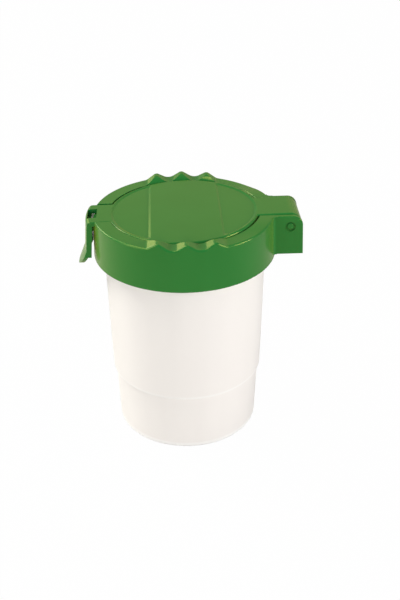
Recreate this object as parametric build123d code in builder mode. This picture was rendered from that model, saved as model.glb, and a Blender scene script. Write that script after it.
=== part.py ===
from build123d import *
import os
from math import acos, atan, cos, hypot, pi, radians, sin

# Brush washer with a hinged lid. Millimetres, +Z up, origin on the cup axis at the underside.
# The hinge is towards +X and the latch towards -X.

# ---- cup ----
cup_rim_z = 99.8
cup_neck_radius = 35.6
cup_mid_radius = 35.2
cup_mid_z = 60.0
cup_ledge_z = 28.9
cup_ledge_radius = 34.45
cup_foot_top_z = 28.1
cup_foot_top_radius = 33.4
cup_base_radius = 32.4
cup_foot_round = 1.4
cup_wall = 1.3
cup_floor = 1.8
cup_floor_round = 2.5
cup_rim_round = 0.4
cup_ledge_round = 0.3

# ---- twist thread between cup and collar ----
thread_lead = 20.0
thread_starts = 4
thread_radius = 36.6
thread_start_angle = 45.0
lug_half_angle = 22.0
lug_root_half_width = 1.3
lug_tip_half_width = 0.8
cup_lug_z = 95.5
cup_lug_root_radius = 35.1
cup_lug_tip_radius = 37.0
collar_lug_z = 93.0
collar_lug_root_radius = 38.3
collar_lug_tip_radius = 36.2

# ---- collar ----
skirt_bottom_z = 86.22
skirt_bottom_radius = 40.15
crown_z = 104.92
crown_radius = 39.53
skirt_inner_bottom_radius = 38.3
skirt_inner_top_radius = 37.55
gasket_seat_z = 101.0
spigot_outer_radius = 33.85
spigot_inner_radius = 32.6
spigot_bottom_z = 98.6
shelf_bottom_z = 100.2
throat_radius = 28.4
blank_top_z = 108.5
cutter_half_size = 60.0
cutter_height = 12.0
rim_round = 0.8
skirt_foot_round = 0.3

# brush-rest waves, straight along Y
wave_pitch = 11.75
wave_height = 2.4
crest_round = 2.0
valley_round = 4.5
wave_foot_round = 2.5
wave_slope = 31.0
wave_end_radius = 33.1
wave_end_round = 4.6
wave_end_gap = 0.12

# raised crown beside the strap, sloping down to the plain crown
pad_top_z = 105.8
pad_flat_y = 13.2
pad_foot_y = 28.0
pad_blank_depth = 5.0
pad_start_x = 10.0

# ---- hinge ----
pin_x = 45.3
pin_z = 101.0
pin_radius = 1.7
pin_half_length = 11.1
pin_end_round = 0.7
ear_inner_y = 9.45
ear_outer_y = 11.3
ear_inner_x = 37.15
ear_outer_x = 50.75
ear_foot_x = 51.25
ear_bottom_z = 87.9
ear_top_z = 105.8
ear_outer_round = 4.3
ear_edge_round = 0.45
ear_blend_x = 39.9
ear_blend_y = 12.7
ear_blend_radius = 1.6
ear_root_radius = 38.5
ear_hole_radius = 1.71
pin_recess_radius = 2.3
pin_recess_depth = 0.6
stop_wall_inner_x = 49.2
stop_wall_top_z = 94.5
stop_wall_lean = 0.25

# ---- lid, in its own frame: origin on the pin axis, closed plane leaning down to the latch ----
lid_lean = 1.2
lid_centre = -45.3
lid_radius = 32.7
lid_top = 5.4
lid_thickness = 2.0
strap_half_width = 9.2
strap_corner_round = 0.6
seam_x = -82.1
panel_outer_radius = 31.7
panel_left_edge = -14.4
panel_right_edge = 15.3
panel_depth = 0.4
panel_slope_width = 0.95
panel_corner_round = 1.0
panel_blank = 100.0
plug_outer_radius = 27.9
plug_inner_radius = 26.4
plug_bottom = -1.0
knuckle_radius = 5.4
knuckle_half_length = 9.2
knuckle_bore_radius = 1.8
lid_edge_round = 0.8

# ---- seals ----
seal_inner_radius = 28.6
seal_outer_radius = 31.8
seal_thickness = 1.0
gasket_inner_radius = 34.2
gasket_outer_radius = 37.2

# ---- lid seat in the collar ----
seat_radius = 33.0
strap_gap = 0.2
seat_cut_height = 15.0
notch_half_width = 9.45
notch_middle_x = -48.75
notch_length = 86.5

# ---- latch: plate curved round the cup axis, heights and radii in the cup frame ----
latch_half_width = 9.05
latch_foot_z = 87.7
latch_level_z = 96.1
latch_outer_radius = 43.42
latch_inner_radius = 41.1
latch_flare = 0.075
latch_bend_round = 1.8
latch_side_round = 0.3
latch_blank_z = 108.0
latch_strap_end_x = -86.5
tongue_start_z = 90.4
tongue_tip_radius = 47.1
tongue_tip_z = 82.3
tongue_thickness = 1.6
tongue_foot_z = 82.1
tongue_blend = 3.0

# window and hook, in the lid frame
window_left_x = -87.2
window_right_x = -83.15
window_half_width = 4.5
hook_half_width = 3.8
hook_root_x = -87.0
hook_tip_x = -85.6
hook_top_z = -1.45
hook_bottom_z = -7.6
hook_tip_height = 4.6

# ---- catch nose on the collar ----
nose_half_width = 4.0
nose_bottom_z = 98.2
nose_top_z = 100.2
nose_reach = 40.75
nose_lip = 0.6
nose_root_overlap = 0.6


def cone_radius(z):
    """Outer radius of the collar skirt at height z."""
    taper = (skirt_bottom_radius - crown_radius) / (crown_z - skirt_bottom_z)
    return skirt_bottom_radius - taper * (z - skirt_bottom_z)


def nearest(items, *point):
    """The vertex of a sketch nearest to a point."""
    return items.sort_by_distance(point)[0]


# lid frame and the section plane used to draw in it
lean = radians(lid_lean)
lid_frame = Plane(
    origin=(pin_x, 0, pin_z), x_dir=(cos(lean), 0, sin(lean)), z_dir=(-sin(lean), 0, cos(lean))
)
lid_section = Plane(origin=lid_frame.origin, x_dir=lid_frame.x_dir, z_dir=(0, -1, 0))
lid_axis = Axis((lid_frame * Pos(lid_centre, 0, 0)).position, lid_frame.z_dir)
lid_under = lid_top - lid_thickness


def rounded_lid_edge(edge):
    """True for an edge of the lid top that is not on the seam with the latch."""
    ends = [lid_frame.to_local_coords(edge @ t).X for t in (0, 1)]
    return not all(abs(x - seam_x) < 0.01 for x in ends)


# ---- thread lugs: short arcs leaning with the lead of the thread ----
def lug_axis(level):
    """Axis of the leaning circle that one lug follows."""
    rise = atan(thread_lead / (2 * pi * thread_radius))
    return Axis((0, 0, level), (0, -sin(rise), cos(rise)))


def lug_plane(level):
    """Section plane at the low end of a lug, with its x axis pointing outwards."""
    axis = lug_axis(level)
    outward = Vector(1, 0, 0).rotate(Axis((0, 0, 0), axis.direction), -lug_half_angle)
    return Plane(origin=axis.position, x_dir=outward, z_dir=outward.cross(axis.direction))


with BuildPart() as cup_lug:
    with BuildSketch(lug_plane(cup_lug_z)):
        with BuildLine():
            Polyline(
                (cup_lug_root_radius, -lug_root_half_width),
                (cup_lug_tip_radius, -lug_tip_half_width),
                (cup_lug_tip_radius, lug_tip_half_width),
                (cup_lug_root_radius, lug_root_half_width),
                close=True,
            )
        make_face()
    revolve(axis=lug_axis(cup_lug_z), revolution_arc=2 * lug_half_angle)

with BuildPart() as collar_lug:
    with BuildSketch(lug_plane(collar_lug_z)):
        with BuildLine():
            Polyline(
                (collar_lug_root_radius, -lug_root_half_width),
                (collar_lug_root_radius, lug_root_half_width),
                (collar_lug_tip_radius, lug_tip_half_width),
                (collar_lug_tip_radius, -lug_tip_half_width),
                close=True,
            )
        make_face()
    revolve(axis=lug_axis(collar_lug_z), revolution_arc=2 * lug_half_angle)


# ---- cup ----
with BuildPart() as cup:
    with BuildSketch(Plane.XZ) as cup_section:
        with BuildLine():
            base = Line((0, 0), (cup_base_radius, 0))
            foot = Line(base @ 1, (cup_foot_top_radius, cup_foot_top_z))
            ledge = Line(foot @ 1, (cup_ledge_radius, cup_ledge_z))
            side = ThreePointArc(
                ledge @ 1, (cup_mid_radius, cup_mid_z), (cup_neck_radius, cup_rim_z)
            )
            rim = Line(side @ 1, (cup_neck_radius - cup_wall, cup_rim_z))
            inside = ThreePointArc(
                rim @ 1,
                (cup_mid_radius - cup_wall, cup_mid_z),
                (cup_ledge_radius - cup_wall, cup_ledge_z + 0.5),
            )
            inner_ledge = Line(inside @ 1, (cup_foot_top_radius - cup_wall, cup_foot_top_z + 0.3))
            inner_foot = Line(inner_ledge @ 1, (cup_base_radius - cup_wall, cup_floor))
            floor = Line(inner_foot @ 1, (0, cup_floor))
            Line(floor @ 1, base @ 0)
        make_face()
        fillet(nearest(cup_section.vertices(), cup_base_radius, 0), cup_foot_round)
        fillet(nearest(cup_section.vertices(), cup_foot_top_radius, cup_foot_top_z), cup_ledge_round)
        fillet(nearest(cup_section.vertices(), cup_ledge_radius, cup_ledge_z), cup_ledge_round)
        fillet(nearest(cup_section.vertices(), cup_neck_radius, cup_rim_z), cup_rim_round)
        fillet(nearest(cup_section.vertices(), cup_neck_radius - cup_wall, cup_rim_z), cup_rim_round)
        fillet(nearest(cup_section.vertices(), cup_base_radius - cup_wall, cup_floor), cup_floor_round)
    revolve(axis=Axis.Z)
    with PolarLocations(0, thread_starts, start_angle=thread_start_angle):
        add(cup_lug.part)


# ---- collar ----
# everything above the flat crown and its waves
with BuildPart() as crown_cutter:
    slope = radians(wave_slope)
    crest_apex = wave_height + crest_round * (1 / cos(slope) - 1)
    valley_apex = -valley_round * (1 / cos(slope) - 1)
    wave_end = wave_pitch + crest_apex * cos(slope) / sin(slope)
    with BuildSketch(Plane((0, 0, crown_z), (1, 0, 0), (0, -1, 0))) as wave_section:
        with BuildLine():
            Polyline(
                (-cutter_half_size, 0),
                (-wave_end, 0),
                (-wave_pitch, crest_apex),
                (-wave_pitch / 2, valley_apex),
                (0, crest_apex),
                (wave_pitch / 2, valley_apex),
                (wave_pitch, crest_apex),
                (wave_end, 0),
                (cutter_half_size, 0),
                (cutter_half_size, cutter_height),
                (-cutter_half_size, cutter_height),
                close=True,
            )
        make_face()
        for x in (-wave_pitch, 0, wave_pitch):
            fillet(nearest(wave_section.vertices(), x, crest_apex), crest_round)
        for x in (-wave_pitch / 2, wave_pitch / 2):
            fillet(nearest(wave_section.vertices(), x, valley_apex), valley_round)
        for x in (-wave_end, wave_end):
            fillet(nearest(wave_section.vertices(), x, 0), wave_foot_round)
    extrude(amount=cutter_half_size, both=True)

    # the crown rises smoothly to the hinge ears
    pad_mid_y = (pad_flat_y + pad_foot_y) / 2
    pad_mid_z = (crown_z + pad_top_z) / 2
    with BuildSketch(Plane.YZ.offset(pad_start_x)):
        with BuildLine():
            left_foot = Line((-cutter_half_size, crown_z), (-pad_foot_y, crown_z))
            left_rise = TangentArc(left_foot @ 1, (-pad_mid_y, pad_mid_z), tangent=(1, 0))
            left_top = TangentArc((-pad_flat_y, pad_top_z), left_rise @ 1, tangent=(-1, 0))
            top = Line(left_top @ 0, (pad_flat_y, pad_top_z))
            right_top = TangentArc(top @ 1, (pad_mid_y, pad_mid_z), tangent=(1, 0))
            right_rise = TangentArc((pad_foot_y, crown_z), right_top @ 1, tangent=(-1, 0))
            Polyline(
                right_rise @ 0,
                (cutter_half_size, crown_z),
                (cutter_half_size, crown_z - pad_blank_depth),
                (-cutter_half_size, crown_z - pad_blank_depth),
                left_foot @ 0,
            )
        make_face()
    extrude(amount=cutter_half_size, mode=Mode.SUBTRACT)

    # the waves fall away towards the lid
    wave_end_top = crown_z + wave_height + wave_end_gap
    wave_end_turn = acos(1 - (wave_end_top - crown_z) / wave_end_round)
    wave_end_x = wave_end_radius + wave_end_round * sin(wave_end_turn)
    wave_end_mid_z = wave_end_top - wave_end_round * (1 - cos(wave_end_turn / 2))
    with BuildSketch(Plane.XZ):
        with BuildLine():
            fall = ThreePointArc(
                (wave_end_radius, crown_z),
                (wave_end_x - wave_end_round * sin(wave_end_turn / 2), wave_end_mid_z),
                (wave_end_x, wave_end_top),
            )
            Polyline(
                fall @ 1,
                (wave_end_x, blank_top_z + 1),
                (throat_radius, blank_top_z + 1),
                (throat_radius, crown_z),
                fall @ 0,
            )
        make_face()
    revolve(axis=Axis.Z)

# outer part of one hinge ear, with its outer edges rounded
with BuildPart() as ear_plate:
    with BuildSketch(Plane.XZ.offset(ear_inner_y)) as ear_section:
        with BuildLine():
            Polyline(
                (ear_inner_x, ear_bottom_z),
                (ear_foot_x, ear_bottom_z),
                (ear_outer_x, pin_z),
                (ear_outer_x, ear_top_z),
                (ear_inner_x, ear_top_z),
                close=True,
            )
        make_face()
        fillet(nearest(ear_section.vertices(), ear_outer_x, ear_top_z), ear_outer_round)
    extrude(amount=ear_outer_y - ear_inner_y)
    outer_edges = ear_plate.faces().sort_by(Axis.Y)[0].edges()
    fillet(outer_edges.filter_by(lambda e: (e @ 0.5).X > ear_inner_x + 0.1), ear_edge_round)

# both hinge ears, blended into the skirt
with BuildPart() as ears:
    with BuildSketch(Plane.XZ):
        with BuildLine():
            Polyline(
                (0, ear_bottom_z),
                (cone_radius(ear_bottom_z), ear_bottom_z),
                (cone_radius(ear_top_z), ear_top_z),
                (0, ear_top_z),
                close=True,
            )
        make_face()
    revolve(axis=Axis.Z)
    for side in (-1, 1):
        with Locations(
            (
                (ear_inner_x + ear_blend_x) / 2,
                side * (ear_inner_y + ear_outer_y) / 2,
                (ear_bottom_z + ear_top_z) / 2,
            )
        ):
            Box(ear_blend_x - ear_inner_x, ear_outer_y - ear_inner_y, ear_top_z - ear_bottom_z)
    blend_edges = ears.edges().filter_by(
        lambda e: all(abs(abs(p.Y) - ear_outer_y) < 0.01 for p in (e @ 0, e @ 1))
        and all(abs(hypot(p.X, p.Y) - cone_radius(p.Z)) < 0.01 for p in (e @ 0, e @ 1))
        and abs((e @ 0).Z - (e @ 1).Z) > 5
    )
    fillet(blend_edges, ear_blend_radius)
    with BuildSketch(Plane.XY.offset(ear_bottom_z)):
        with Locations((cutter_half_size / 2 + ear_inner_x, 0)):
            Rectangle(cutter_half_size, 2 * ear_blend_y)
        Circle(ear_root_radius, mode=Mode.SUBTRACT)
    extrude(amount=ear_top_z - ear_bottom_z, mode=Mode.INTERSECT)
    add(ear_plate.part)
    add(mirror(ear_plate.part, about=Plane.XZ, mode=Mode.PRIVATE))

with BuildPart() as collar:
    with BuildSketch(Plane.XZ):
        with BuildLine():
            Polyline(
                (skirt_inner_bottom_radius, skirt_bottom_z),
                (skirt_bottom_radius, skirt_bottom_z),
                (cone_radius(blank_top_z), blank_top_z),
                (throat_radius, blank_top_z),
                (throat_radius, shelf_bottom_z),
                (spigot_inner_radius, shelf_bottom_z),
                (spigot_inner_radius, spigot_bottom_z),
                (spigot_outer_radius, spigot_bottom_z),
                (spigot_outer_radius, gasket_seat_z),
                (skirt_inner_top_radius, gasket_seat_z),
                close=True,
            )
        make_face()
    revolve(axis=Axis.Z)

    # crown with its waves, rounded along the outer rim
    add(crown_cutter.part, mode=Mode.SUBTRACT)
    rim_edges = collar.edges().filter_by(
        lambda e: min((e @ 0).Z, (e @ 1).Z) > crown_z - 0.05
        and all(abs(hypot(p.X, p.Y) - cone_radius(p.Z)) < 0.01 for p in (e @ 0, e @ 0.5, e @ 1))
    )
    fillet(rim_edges, rim_round)
    foot_edges = collar.edges().filter_by(
        lambda e: abs((e @ 0).Z - skirt_bottom_z) < 0.01
        and abs(hypot((e @ 0.5).X, (e @ 0.5).Y) - skirt_bottom_radius) < 0.01
    )
    fillet(foot_edges, skirt_foot_round)

    add(ears.part)

    # wall joining the ears at the bottom, which also stops the lid
    with BuildSketch(Plane.XZ):
        with BuildLine():
            Polyline(
                (stop_wall_inner_x, ear_bottom_z),
                (ear_foot_x, ear_bottom_z),
                (ear_foot_x - stop_wall_lean, stop_wall_top_z),
                (stop_wall_inner_x, stop_wall_top_z),
                close=True,
            )
        make_face()
    extrude(amount=ear_inner_y, both=True)

    # lid seat and strap notches
    with BuildSketch(lid_frame.offset(lid_under - seal_thickness)):
        with Locations((lid_centre, 0)):
            Circle(seat_radius)
    extrude(amount=seat_cut_height, mode=Mode.SUBTRACT)
    with BuildSketch(lid_frame.offset(lid_under - strap_gap)):
        with Locations((notch_middle_x, 0)):
            Rectangle(notch_length, 2 * notch_half_width)
    extrude(amount=seat_cut_height, mode=Mode.SUBTRACT)

    # pin holes with their outer recesses
    with BuildSketch(Plane.XZ):
        with Locations((pin_x, pin_z)):
            Circle(ear_hole_radius)
    extrude(amount=ear_outer_y, both=True, mode=Mode.SUBTRACT)
    for side in (-1, 1):
        with BuildSketch(Plane.XZ.offset(-side * ear_outer_y)):
            with Locations((pin_x, pin_z)):
                Circle(pin_recess_radius)
        extrude(amount=side * pin_recess_depth, mode=Mode.SUBTRACT)

    # catch nose under the latch
    with BuildSketch(Plane.XZ):
        with BuildLine():
            Polyline(
                (-crown_radius + nose_root_overlap, nose_bottom_z),
                (-nose_reach, nose_bottom_z),
                (-nose_reach, nose_bottom_z + nose_lip),
                (-crown_radius, nose_top_z),
                (-crown_radius + nose_root_overlap, nose_top_z),
                close=True,
            )
        make_face()
    extrude(amount=nose_half_width, both=True)

    # inner thread lugs
    with PolarLocations(0, thread_starts, start_angle=thread_start_angle):
        add(collar_lug.part)


# ---- gasket between cup rim and collar ----
with BuildPart() as collar_gasket:
    with BuildSketch(Plane.XY.offset(cup_rim_z)):
        Circle(gasket_outer_radius)
        Circle(gasket_inner_radius, mode=Mode.SUBTRACT)
    extrude(amount=gasket_seat_z - cup_rim_z)


# ---- lid ----
with BuildPart() as lid:
    with BuildSketch(lid_frame.offset(lid_under)) as lid_plate:
        with Locations((lid_centre, 0)):
            Circle(lid_radius)
        with Locations((seam_x / 2, 0)):
            Rectangle(-seam_x, 2 * strap_half_width)
        corners = lid_plate.vertices().filter_by(
            lambda v: abs(hypot(v.X - lid_centre, v.Y) - lid_radius) < 0.01
            and abs(abs(v.Y) - strap_half_width) < 0.01
        )
        fillet(corners, strap_corner_round)
    extrude(amount=lid_thickness)

    # hinge knuckle
    with BuildSketch(lid_section):
        Circle(knuckle_radius)
    extrude(amount=knuckle_half_length, both=True)

    # rounded upper edge, all round except at the seam with the latch
    top_face = lid.faces().sort_by(lid_axis)[-1]
    fillet(top_face.edges().filter_by(rounded_lid_edge), lid_edge_round)

    with BuildSketch(lid_section):
        Circle(knuckle_bore_radius)
    extrude(amount=knuckle_half_length + 1, both=True, mode=Mode.SUBTRACT)

    # plug that hangs into the throat
    with BuildSketch(lid_section):
        with BuildLine():
            Polyline(
                (lid_centre + plug_inner_radius, lid_under),
                (lid_centre + plug_outer_radius, lid_under),
                (lid_centre + plug_outer_radius - 0.3, plug_bottom + 0.5),
                (lid_centre + plug_outer_radius - 0.6, plug_bottom),
                (lid_centre + plug_inner_radius + 0.3, plug_bottom),
                (lid_centre + plug_inner_radius, plug_bottom + 0.4),
                close=True,
            )
        make_face()
    revolve(axis=lid_axis)

    # two sunk D panels with sloping walls
    for side, edge in ((-1, panel_left_edge), (1, panel_right_edge)):
        with BuildSketch(lid_frame.offset(lid_top)) as panel_top:
            with Locations((lid_centre, 0)):
                Circle(panel_outer_radius)
            with Locations((lid_centre + edge - side * panel_blank / 2, 0)):
                Rectangle(panel_blank, panel_blank, mode=Mode.SUBTRACT)
            fillet(panel_top.vertices(), panel_corner_round)
        with BuildSketch(lid_frame.offset(lid_top - panel_depth)) as panel_foot:
            with Locations((lid_centre, 0)):
                Circle(panel_outer_radius - panel_slope_width)
            with Locations((lid_centre + edge + side * (panel_slope_width - panel_blank / 2), 0)):
                Rectangle(panel_blank, panel_blank, mode=Mode.SUBTRACT)
            fillet(panel_foot.vertices(), panel_corner_round)
        loft([panel_top.sketch, panel_foot.sketch], ruled=True, mode=Mode.SUBTRACT)


# ---- seal under the lid ----
with BuildPart() as lid_seal:
    with BuildSketch(lid_frame.offset(lid_under - seal_thickness)):
        with Locations((lid_centre, 0)):
            Circle(seal_outer_radius)
            Circle(seal_inner_radius, mode=Mode.SUBTRACT)
    extrude(amount=seal_thickness)


# ---- latch ----
def plate_radius(radius, z):
    """Radius at height z of a plate surface that has the given radius at the latch level."""
    return radius + latch_flare * (latch_level_z - z)


def inside_latch(point):
    """True for a point below the bend of the latch and inward of its outer face."""
    below_bend = lid_frame.to_local_coords(point).Z < lid_top - latch_bend_round - 0.01
    inward = hypot(point.X, point.Y) < plate_radius(latch_outer_radius, point.Z) - 0.02
    return below_bend and inward


tongue_root_radius = plate_radius(latch_outer_radius, tongue_start_z)
tongue_length = hypot(tongue_tip_radius - tongue_root_radius, tongue_start_z - tongue_tip_z)
tongue_inset_r = -tongue_thickness * (tongue_start_z - tongue_tip_z) / tongue_length
tongue_inset_z = -tongue_thickness * (tongue_tip_radius - tongue_root_radius) / tongue_length

with BuildPart() as latch:
    # hanging plate and tongue
    with BuildSketch(Plane.XZ) as latch_section:
        with BuildLine():
            Polyline(
                (plate_radius(latch_inner_radius, latch_foot_z), latch_foot_z),
                (plate_radius(latch_outer_radius, latch_foot_z), latch_foot_z),
                (plate_radius(latch_outer_radius, latch_blank_z), latch_blank_z),
                (plate_radius(latch_inner_radius, latch_blank_z), latch_blank_z),
                close=True,
            )
        make_face()
        with BuildLine():
            Polyline(
                (tongue_root_radius, tongue_start_z),
                (tongue_root_radius + tongue_inset_r, tongue_start_z + tongue_inset_z),
                (tongue_tip_radius + tongue_inset_r, tongue_tip_z + tongue_inset_z),
                (tongue_tip_radius, tongue_tip_z),
                close=True,
            )
        make_face()
        fillet(
            nearest(latch_section.vertices(), tongue_root_radius, tongue_start_z), tongue_blend
        )
    revolve(axis=Axis.Z)

    # outline seen from outside, with a U-shaped tongue
    with BuildSketch(Plane((0, 0, 0), (0, -1, 0), (-1, 0, 0))):
        with BuildLine():
            outline = Polyline(
                (latch_half_width, latch_foot_z),
                (latch_half_width, latch_blank_z),
                (-latch_half_width, latch_blank_z),
                (-latch_half_width, latch_foot_z),
            )
            ThreePointArc(outline @ 1, (0, tongue_foot_z), outline @ 0)
        make_face()
    extrude(amount=cutter_half_size, mode=Mode.INTERSECT)

    # strap from the seam to the plate, cut to the plane of the lid top
    with BuildSketch(lid_frame.offset(lid_under)):
        with Locations(((seam_x + latch_strap_end_x) / 2, 0)):
            Rectangle(seam_x - latch_strap_end_x, 2 * latch_half_width)
    extrude(amount=lid_thickness)
    split(bisect_by=lid_frame.offset(lid_top), keep=Keep.BOTTOM)
    bend_edge = latch.edges().filter_by(
        lambda e: all(
            abs(hypot(p.X, p.Y) - plate_radius(latch_outer_radius, p.Z)) < 0.01
            and abs(lid_frame.to_local_coords(p).Z - lid_top) < 0.01
            for p in (e @ 0, e @ 0.5, e @ 1)
        )
    )
    fillet(bend_edge, latch_bend_round)
    rim_edges = latch.edges().filter_by(
        lambda e: all(
            abs(abs(p.Y) - latch_half_width) < 0.01 and not inside_latch(p)
            for p in (e @ 0.05, e @ 0.5, e @ 0.95)
        )
    )
    fillet(rim_edges, latch_side_round)

    # hook that snaps under the catch nose
    with BuildSketch(lid_section):
        with BuildLine():
            Polyline(
                (hook_root_x, hook_top_z),
                (hook_tip_x, hook_top_z),
                (hook_tip_x, hook_top_z - hook_tip_height),
                (hook_root_x, hook_bottom_z),
                close=True,
            )
        make_face()
    extrude(amount=hook_half_width, both=True)

    # window that leaves two flexing strips
    with BuildSketch(lid_frame.offset(lid_top + 1)):
        with Locations(((window_left_x + window_right_x) / 2, 0)):
            Rectangle(window_right_x - window_left_x, 2 * window_half_width)
    extrude(amount=-(lid_thickness + 2), mode=Mode.SUBTRACT)


# ---- hinge pin ----
with BuildPart() as hinge_pin:
    with BuildSketch(Plane.XZ):
        with Locations((pin_x, pin_z)):
            Circle(pin_radius)
    extrude(amount=pin_half_length, both=True)
    fillet(hinge_pin.edges().filter_by(GeomType.CIRCLE), pin_end_round)


# ---- export ----
os.makedirs("parts", exist_ok=True)

cup.part.label = "cup"
collar.part.label = "collar"
collar_gasket.part.label = "collar_gasket"
lid.part.label = "lid"
lid_seal.part.label = "lid_seal"
latch.part.label = "latch"
hinge_pin.part.label = "hinge_pin"

export_step(cup.part, "parts/cup.step")
export_step(collar.part, "parts/collar.step")
export_step(collar_gasket.part, "parts/collar_gasket.step")
export_step(lid.part, "parts/lid.step")
export_step(lid_seal.part, "parts/lid_seal.step")
export_step(latch.part, "parts/latch.step")
export_step(hinge_pin.part, "parts/hinge_pin.step")
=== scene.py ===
"""Brush washer with a hinged lid: finishes, stage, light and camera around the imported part."""

import logging
import math
from dataclasses import dataclass, field
from enum import Enum

import bpy
from mathutils import Matrix, Vector

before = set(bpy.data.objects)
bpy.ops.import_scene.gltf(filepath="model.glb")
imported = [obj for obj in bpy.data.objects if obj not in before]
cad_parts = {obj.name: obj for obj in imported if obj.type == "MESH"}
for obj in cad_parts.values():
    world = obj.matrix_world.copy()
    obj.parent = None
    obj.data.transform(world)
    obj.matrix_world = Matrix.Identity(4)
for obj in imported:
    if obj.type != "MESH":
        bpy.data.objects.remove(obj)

log = logging.getLogger("brush_washer")

Colour = tuple[float, float, float]
Point = tuple[float, float, float]
Socket = bpy.types.NodeSocket

BLACK = (0.0, 0.0, 0.0, 1.0)
WHITE = (1.0, 1.0, 1.0, 1.0)

# Sockets of a Mix node that blends colours.
MIX_SHARE, MIX_FIRST, MIX_SECOND, MIX_RESULT = 0, 6, 7, 2

# Octaves of a broad noise and of a fine one, the share of each octave kept in the next, and the two values
# that most of a noise lies between.
BROAD, FINE = 3.0, 2.0
OCTAVE_SHARE = 0.55
NOISE_LOW, NOISE_HIGH = 0.3, 0.7

# Depth in metres of the bump on every finish.
RELIEF = 0.0001


class Slot(Enum):
    """Material slots of the record."""

    CUP = "cup_plastic"
    GREEN = "green_plastic"
    SEAL = "seal_rubber"


class Bench:
    """Lays out the nodes of one material or world."""

    def __init__(self, owner: bpy.types.Material | bpy.types.World, end: str = "Material") -> None:
        """Start an empty node tree with its output.

        Args:
            owner: The material or world.
            end: Kind of output, Material or World.
        """
        self.owner = owner
        owner.use_nodes = True
        self.tree = owner.node_tree
        self.tree.nodes.clear()
        self.output = self.node("Output" + end)

    def node(self, kind: str, **values: object) -> bpy.types.Node:
        """Add a node and set its unlinked inputs by name.

        Args:
            kind: Short node type, without the ShaderNode prefix.
            values: Input names, with _ for a space, and their values.

        Returns:
            The new node.
        """
        made = self.tree.nodes.new("ShaderNode" + kind)
        for name, value in values.items():
            made.inputs[name.replace("_", " ")].default_value = value
        return made

    def reckon(self, operation: str, first: Socket, second: Socket | float) -> Socket:
        """Work out a value from two others.

        Args:
            operation: Operation of the Math node.
            first: First value.
            second: Second value, or its socket.

        Returns:
            The result socket.
        """
        made = self.node("Math")
        made.operation = operation
        self.link(first, made.inputs[0])
        if isinstance(second, Socket):
            self.link(second, made.inputs[1])
        else:
            made.inputs[1].default_value = second
        return made.outputs[0]

    def link(self, source: Socket, target: Socket) -> None:
        """Join two sockets.

        Args:
            source: Output socket.
            target: Input socket.
        """
        self.tree.links.new(source, target)

    def grain(self, scale: float, detail: float, stretch: Point = (1.0, 1.0, 1.0)) -> Socket:
        """Noise on the object's own coordinates.

        Args:
            scale: Repeats per metre.
            detail: Octaves of detail.
            stretch: Scale along each axis before the noise.

        Returns:
            The noise value socket.
        """
        place = self.node("TexCoord")
        mapping = self.node("Mapping", Scale=stretch)
        noise = self.node("TexNoise", Scale=scale, Detail=detail, Roughness=OCTAVE_SHARE)
        self.link(place.outputs["Object"], mapping.inputs["Vector"])
        self.link(mapping.outputs["Vector"], noise.inputs["Vector"])
        return noise.outputs["Fac"]

    def spread(self, source: Socket, low: float, high: float) -> Socket:
        """Stretch a noise value over a range.

        Args:
            source: Noise value.
            low: Result at NOISE_LOW.
            high: Result at NOISE_HIGH.

        Returns:
            The mapped value socket.
        """
        ranged = self.node("MapRange", From_Min=NOISE_LOW, From_Max=NOISE_HIGH, To_Min=low, To_Max=high)
        self.link(source, ranged.inputs["Value"])
        return ranged.outputs["Result"]

    def rings(self, stops: tuple[tuple[float, float], ...], reach: float = 0.04) -> Socket:
        """Bands at given heights of the object's own Z.

        Args:
            stops: Heights in metres and the value at each.
            reach: Height in metres that ends the last band.

        Returns:
            The band value socket.
        """
        place = self.node("TexCoord")
        split = self.node("SeparateXYZ")
        self.link(place.outputs["Object"], split.inputs["Vector"])
        height = self.node("MapRange", From_Max=reach)
        self.link(split.outputs["Z"], height.inputs["Value"])
        ramp = self.node("ValToRGB")
        for end, position in zip(ramp.color_ramp.elements, (0.0, 1.0)):
            end.position = position
            end.color = BLACK
        for level, value in stops:
            ramp.color_ramp.elements.new(level / reach).color = (value, value, value, 1.0)
        self.link(height.outputs["Result"], ramp.inputs["Fac"])
        return ramp.outputs["Color"]

    def between(self, share: Socket, first: Colour | Socket, second: Colour) -> Socket:
        """Blend two colours.

        Args:
            share: Socket with the share of the second colour.
            first: First colour, or its socket.
            second: Second colour.

        Returns:
            The blended colour socket.
        """
        mix = self.node("Mix")
        mix.data_type = "RGBA"
        if isinstance(first, Socket):
            self.link(first, mix.inputs[MIX_FIRST])
        else:
            mix.inputs[MIX_FIRST].default_value = (*first, 1.0)
        mix.inputs[MIX_SECOND].default_value = (*second, 1.0)
        self.link(share, mix.inputs[MIX_SHARE])
        return mix.outputs[MIX_RESULT]

    def mottle(self, noise: Socket, first: Colour, second: Colour) -> Socket:
        """Blend two colours by a noise.

        Args:
            noise: Noise value.
            first: Colour where the noise is low.
            second: Colour where the noise is high.

        Returns:
            The blended colour socket.
        """
        return self.between(self.spread(noise, 0.0, 1.0), first, second)

    def roughen(self, skin: bpy.types.Node, noise: Socket, smooth: float, dull: float, bump: float) -> None:
        """Let a fine noise vary a shader's roughness and raise its surface.

        Args:
            skin: The shader node.
            noise: Noise value.
            smooth: Roughness where the noise is low.
            dull: Roughness where the noise is high.
            bump: Strength of the bump.
        """
        self.link(self.spread(noise, smooth, dull), skin.inputs["Roughness"])
        relief = self.node("Bump", Strength=bump, Distance=RELIEF)
        self.link(noise, relief.inputs["Height"])
        self.link(relief.outputs["Normal"], skin.inputs["Normal"])

    def seen(self) -> Socket:
        """Tell what the camera sees, straight or through a clear piece.

        Returns:
            Socket with 1 for those rays and 0 for the rest.
        """
        path = self.node("LightPath")
        return self.reckon("MAXIMUM", path.outputs["Is Camera Ray"], path.outputs["Is Transmission Ray"])

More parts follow.
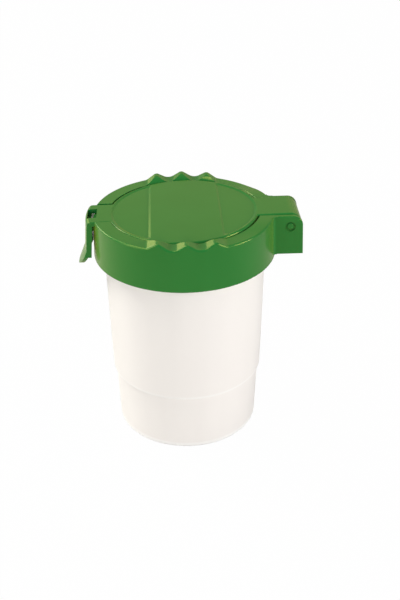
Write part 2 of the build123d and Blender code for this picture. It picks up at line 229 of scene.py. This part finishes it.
    def blend(self, share: Socket, first: bpy.types.Node, second: bpy.types.Node) -> bpy.types.Node:
        """Mix two shaders.

        Args:
            share: Socket with the share of the second shader.
            first: First shader node.
            second: Second shader node.

        Returns:
            The mixing node.
        """
        mix = self.node("MixShader")
        for source, target in zip((share, first.outputs[0], second.outputs[0]), mix.inputs):
            self.link(source, target)
        return mix

    def finish(self, shader: bpy.types.Node) -> bpy.types.Material | bpy.types.World:
        """Join the last shader to the output.

        Args:
            shader: The shader node.

        Returns:
            The finished material or world.
        """
        self.link(shader.outputs[0], self.output.inputs["Surface"])
        return self.owner


@dataclass(frozen=True)
class GreenPlastic:
    """Glossy green moulded plastic with a trace of flow and a fine orange peel."""

    name: str = "green_plastic"
    deep: Colour = (0.005, 0.150, 0.030)
    bright: Colour = (0.008, 0.163, 0.034)
    flow_scale: float = 38.0
    flow_stretch: Point = (1.0, 1.0, 0.6)
    peel_scale: float = 700.0
    peel_bump: float = 0.05
    smooth: float = 0.17
    dull: float = 0.23
    ior: float = 1.5
    gloss: float = 0.5
    gloss_tint: Colour = (1.0, 0.95, 0.2)
    bloom: float = 0.19
    bloom_spread: float = 0.5
    bloom_tint: Colour = (1.0, 0.97, 0.04)

    def build(self) -> bpy.types.Material:
        """Returns: the green plastic material."""
        bench = Bench(bpy.data.materials.new(self.name))
        skin = bench.node(
            "BsdfPrincipled",
            IOR=self.ior,
            Specular_IOR_Level=self.gloss,
            Specular_Tint=(*self.gloss_tint, 1.0),
            Sheen_Weight=self.bloom,
            Sheen_Roughness=self.bloom_spread,
            Sheen_Tint=(*self.bloom_tint, 1.0),
        )
        flow = bench.grain(self.flow_scale, BROAD, self.flow_stretch)
        bench.link(bench.mottle(flow, self.deep, self.bright), skin.inputs["Base Color"])
        bench.roughen(skin, bench.grain(self.peel_scale, FINE), self.smooth, self.dull, self.peel_bump)
        return bench.finish(skin)


@dataclass(frozen=True)
class FrostedPlastic:
    """Translucent milky plastic of the cup, with painted highlights as whiter bands round the foot and the
    ledge.
    """

    name: str = "cup_plastic"
    thin: Colour = (0.93, 0.888, 0.85)
    thick: Colour = (0.905, 0.862, 0.825)
    # Colour of the painted highlight bands at the foot and the ledge.
    ring_highlight: Colour = (0.97, 0.945, 0.915)
    streak_scale: float = 60.0
    streak_stretch: Point = (1.0, 1.0, 0.08)
    grain_scale: float = 900.0
    grain_bump: float = 0.05
    smooth: float = 0.4
    dull: float = 0.55
    ior: float = 1.15
    gloss: float = 0.4
    clearness: float = 0.12
    bloom: float = 0.3
    bloom_spread: float = 0.4
    # Heights in metres of the painted highlight bands at the foot and the ledge, and the strength of each.
    highlight_ring_stops: tuple[tuple[float, float], ...] = (
        (0.0004, 0.0),
        (0.0010, 1.0),
        (0.0020, 1.0),
        (0.0030, 0.0),
        (0.0274, 0.0),
        (0.0284, 1.0),
        (0.0290, 1.0),
        (0.0300, 0.0),
    )

    def build(self) -> bpy.types.Material:
        """Returns: the cup material."""
        bench = Bench(bpy.data.materials.new(self.name))
        skin = bench.node(
            "BsdfPrincipled",
            IOR=self.ior,
            Specular_IOR_Level=self.gloss,
            Transmission_Weight=self.clearness,
            Sheen_Weight=self.bloom,
            Sheen_Roughness=self.bloom_spread,
        )
        streak = bench.grain(self.streak_scale, BROAD, self.streak_stretch)
        body = bench.mottle(streak, self.thin, self.thick)
        # The bands at the foot and the ledge paint highlights into the base colour.
        bench.link(bench.between(bench.rings(self.highlight_ring_stops), body, self.ring_highlight), skin.inputs["Base Color"])
        bench.roughen(skin, bench.grain(self.grain_scale, FINE), self.smooth, self.dull, self.grain_bump)
        return bench.finish(skin)


@dataclass(frozen=True)
class SealRubber:
    """Soft pale rubber of the two seals."""

    name: str = "seal_rubber"
    clean: Colour = (0.62, 0.62, 0.60)
    dusty: Colour = (0.54, 0.54, 0.52)
    cloud_scale: float = 120.0
    speck_scale: float = 1500.0
    speck_bump: float = 0.2
    smooth: float = 0.55
    dull: float = 0.75
    ior: float = 1.5
    gloss: float = 0.35

    def build(self) -> bpy.types.Material:
        """Returns: the seal material."""
        bench = Bench(bpy.data.materials.new(self.name))
        skin = bench.node("BsdfPrincipled", IOR=self.ior, Specular_IOR_Level=self.gloss)
        cloud = bench.grain(self.cloud_scale, BROAD)
        bench.link(bench.mottle(cloud, self.clean, self.dusty), skin.inputs["Base Color"])
        bench.roughen(skin, bench.grain(self.speck_scale, FINE), self.smooth, self.dull, self.speck_bump)
        return bench.finish(skin)


@dataclass
class Washer:
    """The carried-over CAD nodes and their finishes."""

    nodes: dict[str, bpy.types.Object]
    finishes: dict[str, Slot] = field(
        default_factory=lambda: {
            "cup": Slot.CUP,
            "collar": Slot.GREEN,
            "lid": Slot.GREEN,
            "latch": Slot.GREEN,
            "hinge_pin": Slot.GREEN,
            "collar_gasket": Slot.SEAL,
            "lid_seal": Slot.SEAL,
        }
    )

    def dress(self) -> None:
        """Give every node its material."""
        made = {
            Slot.CUP: FrostedPlastic().build(),
            Slot.GREEN: GreenPlastic().build(),
            Slot.SEAL: SealRubber().build(),
        }
        for name, slot in self.finishes.items():
            node = self.nodes[name]
            node.data.materials.clear()
            node.data.materials.append(made[slot])
            log.info("%s wears %s", name, slot.value)


@dataclass(frozen=True)
class Lamp:
    """One soft square lamp. With mirrored off it lights the surfaces and shows in none of them."""

    name: str
    place: Point
    aim: Point
    side: float
    watts: float
    colour: Colour = (1.0, 1.0, 1.0)
    mirrored: bool = True

    def hang(self) -> bpy.types.Object:
        """Returns: the lamp object, turned to its aim."""
        data = bpy.data.lights.new(self.name, "AREA")
        data.shape = "SQUARE"
        data.size = self.side
        data.energy = self.watts
        data.color = self.colour
        lamp = bpy.data.objects.new(self.name, data)
        lamp.visible_glossy = self.mirrored
        bpy.context.scene.collection.objects.link(lamp)
        way = Vector(self.aim) - Vector(self.place)
        lamp.matrix_world = Matrix.Translation(self.place) @ way.to_track_quat("-Z", "Y").to_matrix().to_4x4()
        return lamp


@dataclass
class Stage:
    """White floor, white surround and soft lamps."""

    floor_side: float = 6.0
    floor_drop: float = 0.0002
    floor_grey: float = 0.5
    floor_glow: float = 0.99
    surround: float = 0.265
    lamps: tuple[Lamp, ...] = (
        Lamp("left_lamp", (-1.15, -0.5, 0.42), (0.0, 0.0, 0.09), 0.6, 4.7),
        Lamp("back_left_lamp", (-0.9, 0.6, 0.75), (0.0, 0.0, 0.09), 0.6, 6.6, (1.0, 0.99, 0.92)),
        Lamp("low_back_lamp", (-0.55, 1.02, 0.4), (0.0, 0.0, 0.1), 0.3, 0.6, (1.0, 0.95, 0.35)),
        Lamp("top_lamp", (-0.6, 0.05, 1.15), (0.0, 0.0, 0.09), 0.7, 8.4, (1.0, 0.99, 0.92)),
        Lamp("right_lamp", (1.2, -0.42, 0.3), (0.0, 0.0, 0.05), 0.5, 10.6),
        Lamp("front_lamp", (-0.1, -1.27, 0.3), (0.0, 0.0, 0.05), 0.5, 5.8, mirrored=False),
    )

    def lay_floor(self) -> None:
        """Add the floor: white to the camera, with a faint shadow left on it, and grey to all else."""
        bpy.ops.object.select_all(action="DESELECT")
        bpy.ops.mesh.primitive_plane_add(size=self.floor_side, location=(0.0, 0.0, -self.floor_drop))
        floor = bpy.context.object
        floor.name = "floor"
        bench = Bench(bpy.data.materials.new("floor_white"))
        matt = bench.node("BsdfDiffuse", Color=(self.floor_grey,) * 3 + (1.0,))
        glow = bench.node("Emission", Color=WHITE, Strength=1.0)
        share = bench.reckon("MULTIPLY", bench.seen(), self.floor_glow)
        floor.data.materials.append(bench.finish(bench.blend(share, matt, glow)))
        log.info("floor laid")

    def light(self) -> None:
        """Set the surround, plain white to the camera, and hang the lamps."""
        bench = Bench(bpy.data.worlds.new("surround"), "World")
        soft = bench.node("Background", Color=WHITE, Strength=self.surround)
        white = bench.node("Background", Color=WHITE, Strength=1.0)
        bpy.context.scene.world = bench.finish(bench.blend(bench.seen(), soft, white))
        for lamp in self.lamps:
            lamp.hang()
            log.info("%s hung", lamp.name)


@dataclass
class Viewpoint:
    """Camera on an orbit around a target, with the object a little off centre."""

    target: Point = (0.0, 0.0, 0.04651)
    distance: float = 0.43183
    azimuth: float = -1.354
    elevation: float = 31.605
    roll: float = -1.152
    shift_right: float = -14.256
    shift_down: float = 24.32
    focal_pixels: float = 923.84
    frame_height: int = 600
    sensor: float = 36.0
    nearest: float = 0.01
    farthest: float = 30.0

    def place(self) -> None:
        """Create the camera and make it the scene's camera."""
        az, el, roll = (math.radians(a) for a in (self.azimuth, self.elevation, self.roll))
        back = Vector((math.sin(az) * math.cos(el), -math.cos(az) * math.cos(el), math.sin(el)))
        spot = Vector(self.target) + self.distance * back
        forward = -back
        right = forward.cross(Vector((0, 0, 1))).normalized()
        up = right.cross(forward)
        yaw = Matrix.Rotation(math.atan2(self.shift_right, self.focal_pixels), 3, up)
        forward, right = yaw @ forward, yaw @ right
        pitch = Matrix.Rotation(math.atan2(self.shift_down, self.focal_pixels), 3, right)
        forward, up = pitch @ forward, pitch @ up
        across = right * math.cos(roll) + up * math.sin(roll)
        above = up * math.cos(roll) - right * math.sin(roll)
        turn = Matrix((across, above, -forward)).transposed().to_4x4()
        data = bpy.data.cameras.new("camera")
        data.sensor_width = self.sensor
        data.lens = self.focal_pixels / self.frame_height * self.sensor
        data.clip_start = self.nearest
        data.clip_end = self.farthest
        camera = bpy.data.objects.new("camera", data)
        camera.matrix_world = Matrix.Translation(spot) @ turn
        bpy.context.scene.collection.objects.link(camera)
        bpy.context.scene.camera = camera


def main() -> None:
    """Build everything in order."""
    logging.basicConfig(level=logging.INFO, format="%(message)s")
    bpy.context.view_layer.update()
    bpy.ops.object.select_all(action="DESELECT")
    Washer(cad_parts).dress()
    stage = Stage()
    stage.lay_floor()
    stage.light()
    Viewpoint().place()
    bpy.context.scene.view_settings.view_transform = "Standard"


if __name__ == "__main__":
    main()
